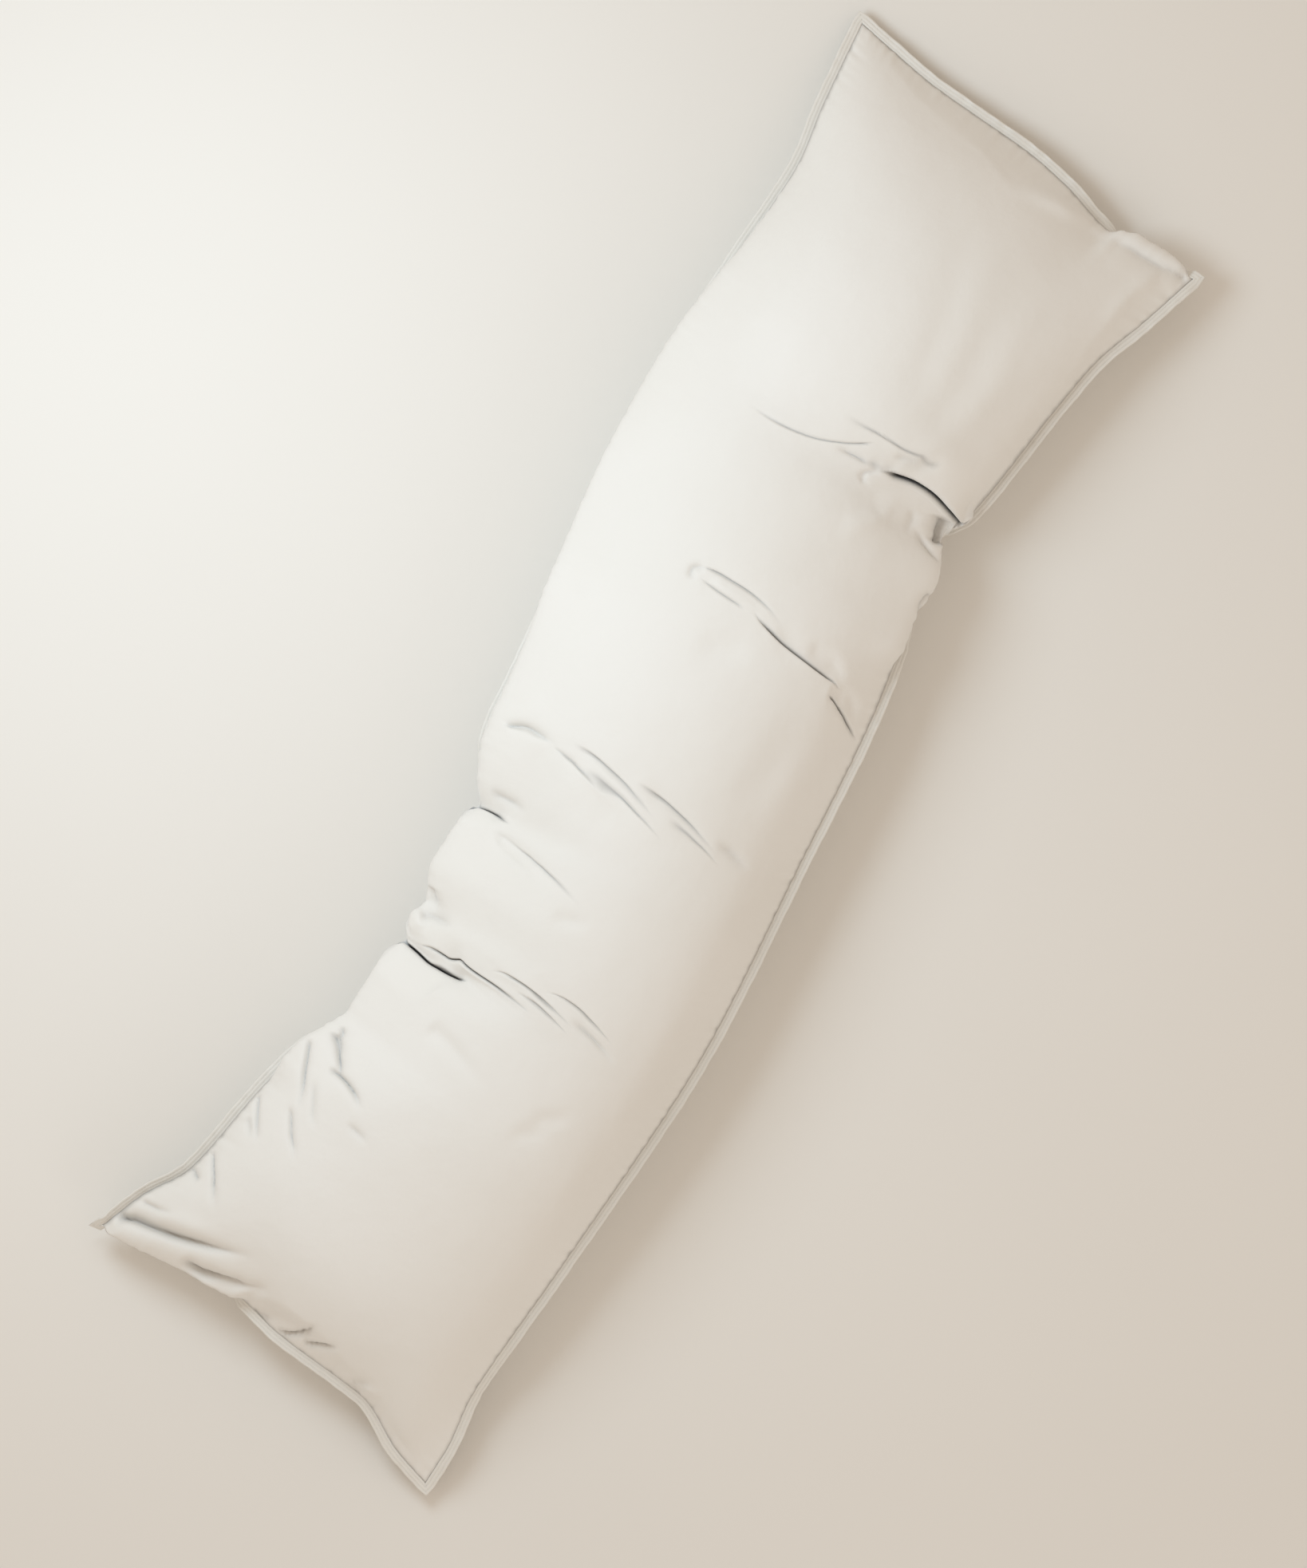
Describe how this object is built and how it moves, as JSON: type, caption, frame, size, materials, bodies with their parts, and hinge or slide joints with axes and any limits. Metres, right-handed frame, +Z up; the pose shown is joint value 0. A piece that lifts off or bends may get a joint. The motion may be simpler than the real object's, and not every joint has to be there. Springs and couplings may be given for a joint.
{
  "type": "feather pillow",
  "caption": "Long, narrow feather pillow slumped on its back, bunched into a deep crease on each side, with a flat binding sewn round its edge.",
  "frame": {"origin": "middle of the bounding box seen from above, on the surface that the pillow lies on", "axes": "+X runs along the pillow, +Z points up out of its face"},
  "size_m": [1.393, 0.4102, 0.1574],
  "materials": {
    "pillow_cotton": "off-white down-proof cotton percale, smooth and slightly lustrous",
    "binding_cotton": "matt beige woven cotton tape with two rows of stitches"
  },
  "bodies": {
    "root": {"pillow": "pillow_cotton", "edge_binding": "binding_cotton"}
  },
  "joints": []
}
